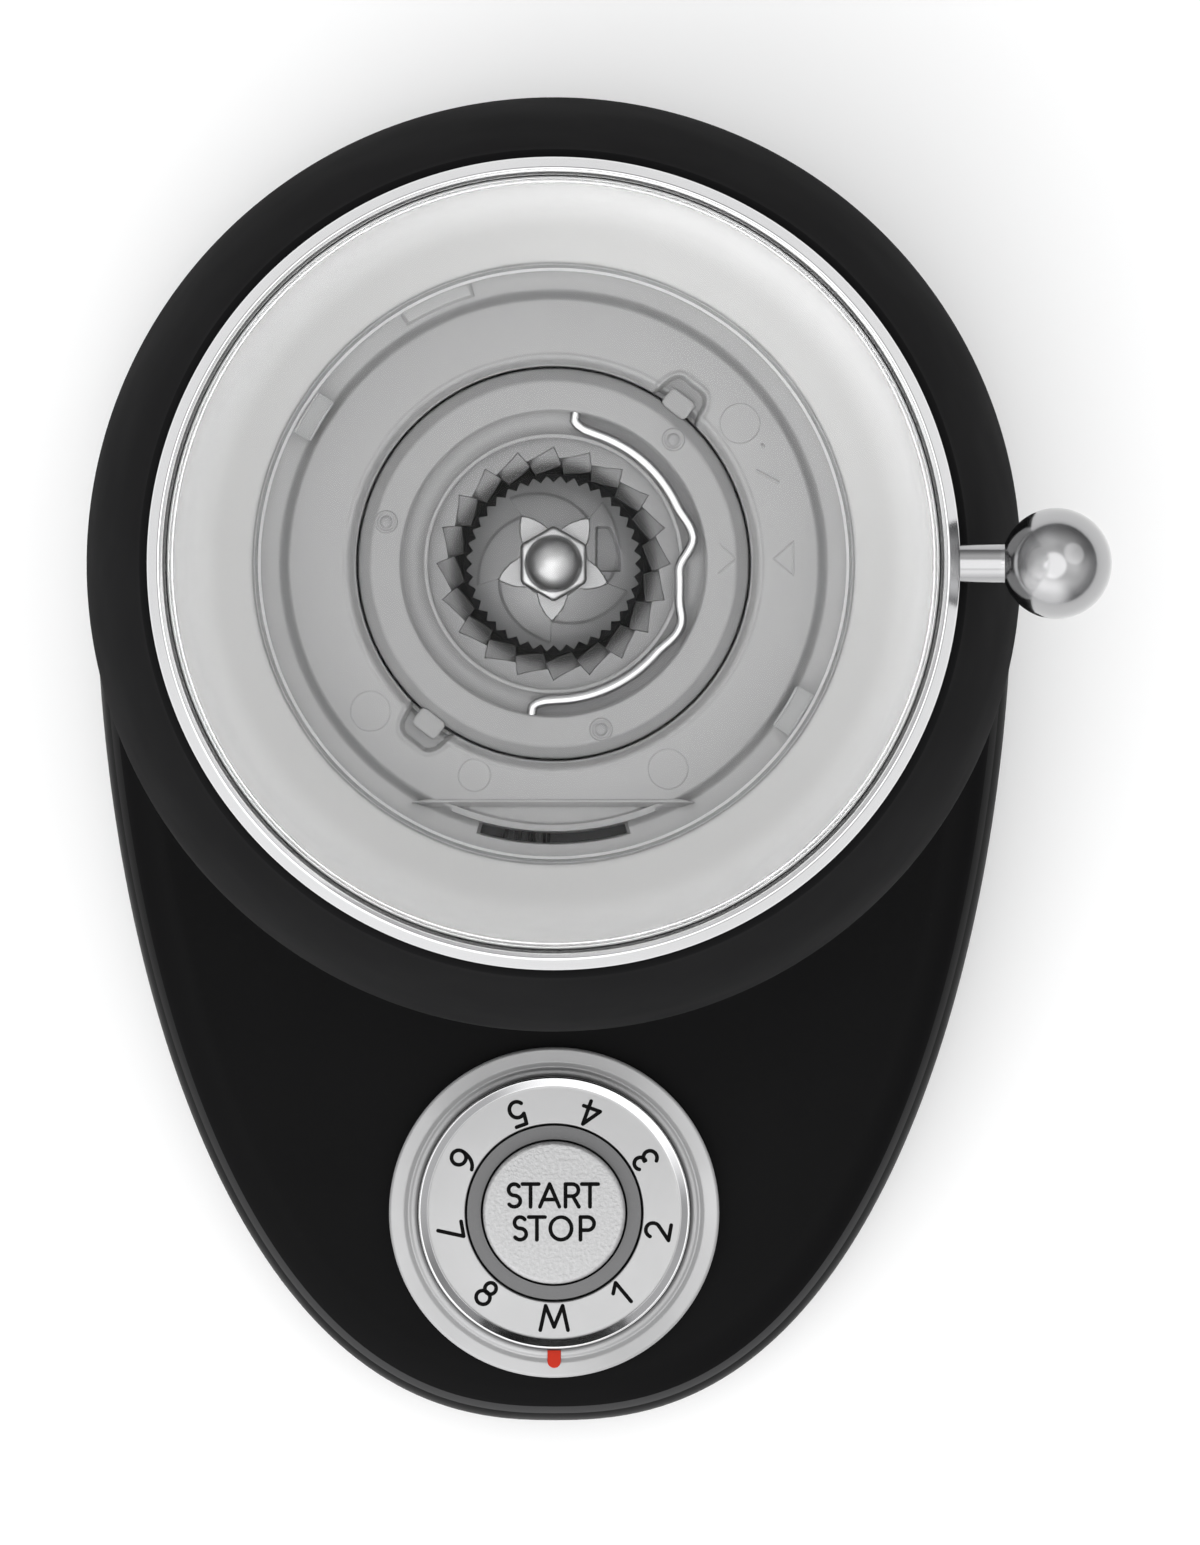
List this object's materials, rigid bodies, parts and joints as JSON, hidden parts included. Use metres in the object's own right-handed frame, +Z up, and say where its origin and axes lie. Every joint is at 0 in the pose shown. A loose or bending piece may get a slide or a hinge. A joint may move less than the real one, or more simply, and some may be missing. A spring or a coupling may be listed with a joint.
{
  "type": "coffee grinder",
  "caption": "Tall electric burr grinder for coffee: oval base with a numbered dial, column, bell-shaped head, clear hopper, ball lever for the grind and a clear grounds jar.",
  "frame": {"origin": "middle of the footprint box, on the plane that the feet stand on", "axes": "+Z up, -Y towards the dial at the front, +X towards the grind lever"},
  "size_m": [0.1866, 0.2434, 0.3839],
  "materials": {
    "black_paint": "satin black paint",
    "black_plastic": "matte black",
    "rubber": "matte",
    "zinc_steel": "zinc plated",
    "circuit_board": "green solder mask",
    "grey_nylon": "matte dark grey",
    "encoder_board": "matte",
    "satin_metal": "satin",
    "red_mark": "gloss red",
    "armature": "lacquered",
    "white_nylon": "moulded",
    "burr_steel": "hardened, dark",
    "chrome": "polished",
    "grey_plastic": "moulded light grey",
    "clear_plastic": "clear",
    "clear_seal": "translucent"
  },
  "bodies": {
    "housing": {"base_shell": "black_paint", "base_plate": "black_plastic", "feet": "rubber", "base_screws": "zinc_steel", "column_shell": "black_paint", "rear_cover": "black_paint", "head_shell": "black_paint", "head_floor": "black_plastic", "container_plinth": "black_paint", "container_mat": "rubber", "cord_gland": "black_plastic", "control_board": "circuit_board", "control_module": "grey_nylon", "dial_encoder": "encoder_board", "start_switch": "black_plastic", "dial_bezel": "satin_metal", "pointer_mark": "red_mark", "motor_can": "zinc_steel", "motor_cap": "black_plastic", "gearbox_tray": "grey_nylon", "gearbox_cover": "grey_nylon", "gear_pin": "zinc_steel", "shaft_bearings": "zinc_steel", "burr_chamber": "grey_plastic", "grounds_chute": "black_plastic", "hopper_deck": "grey_plastic", "interlock_switch": "black_plastic"},
    "adjuster": {"adjust_ring": "chrome", "adjust_hub": "black_plastic", "lever_stem": "chrome", "lever_ball": "chrome"},
    "seat": {"burr_seat": "grey_plastic"},
    "carrier": {"burr_carrier": "grey_plastic", "ring_burr": "burr_steel", "carrier_screws": "zinc_steel"},
    "bail": {"bail_handle": "chrome"},
    "burr_drive": {"cone_burr": "burr_steel", "burr_nut": "chrome", "sweeper": "grey_plastic", "burr_shaft": "zinc_steel", "output_gear": "white_nylon"},
    "compound": {"compound_gear": "white_nylon"},
    "rotor": {"motor_rotor": "armature"},
    "dial": {"dial_ring": "satin_metal"},
    "button": {"start_button": "satin_metal"},
    "bowl": {"hopper": "clear_plastic"},
    "lid": {"hopper_lid": "clear_plastic", "lid_seal": "clear_seal"},
    "jar": {"container": "clear_plastic"},
    "jar_lid": {"container_lid": "black_paint"}
  },
  "joints": [
    {"name": "hopper_lift", "type": "slide", "parent": "housing", "child": "bowl", "axis": [0, 0, 1], "range_m": [0, 0.12]},
    {"name": "lid_lift", "type": "slide", "parent": "bowl", "child": "lid", "axis": [0, 0, 1], "range_m": [0, 0.08]},
    {"name": "lever_turn", "type": "hinge", "parent": "housing", "child": "adjuster", "pos_m": [-0.0083, 0.0367, 0.2932], "axis": [0, 0, 1], "range_deg": [-35, 35]},
    {"name": "seat_rise", "type": "slide", "parent": "housing", "child": "seat", "axis": [0, 0, 1], "range_m": [-0.0006, 0.0006]},
    {"name": "carrier_lift", "type": "slide", "parent": "seat", "child": "carrier", "axis": [0, 0, 1], "range_m": [0, 0.06]},
    {"name": "bail_fold", "type": "hinge", "parent": "carrier", "child": "bail", "pos_m": [-0.0083, 0.0367, 0.2813], "axis": [-0.1444, -0.9895, 0], "range_deg": [0, 90]},
    {"name": "rotor_spin", "type": "hinge", "parent": "housing", "child": "rotor", "pos_m": [-0.0083, 0.0782, 0.16], "axis": [0, 0, 1], "continuous": true},
    {"name": "compound_spin", "type": "hinge", "parent": "housing", "child": "compound", "pos_m": [0.01666, 0.06138, 0.21], "axis": [0, 0, 1], "continuous": true},
    {"name": "burr_spin", "type": "hinge", "parent": "housing", "child": "burr_drive", "pos_m": [-0.0083, 0.0367, 0.22], "axis": [0, 0, 1], "continuous": true},
    {"name": "dial_turn", "type": "hinge", "parent": "housing", "child": "dial", "pos_m": [-0.0083, -0.083, 0.05], "axis": [0, 0, 1], "range_deg": [-320, 0]},
    {"name": "button_press", "type": "slide", "parent": "housing", "child": "button", "axis": [0, 0, -1], "range_m": [0, 0.0015], "stiffness_N_per_m": 800, "springref_m": -0.001},
    {"name": "container_slide", "type": "slide", "parent": "housing", "child": "jar", "axis": [0, -1, 0], "range_m": [0, 0.12]},
    {"name": "container_lid_lift", "type": "slide", "parent": "jar", "child": "jar_lid", "axis": [0, 0, 1], "range_m": [0, 0.01]}
  ],
  "couplings": [
    {"joint": "seat_rise", "follows": "lever_turn", "m_per_rad": 0.00098},
    {"joint": "compound_spin", "follows": "rotor_spin", "ratio": -0.25},
    {"joint": "burr_spin", "follows": "rotor_spin", "ratio": 0.0625}
  ]
}
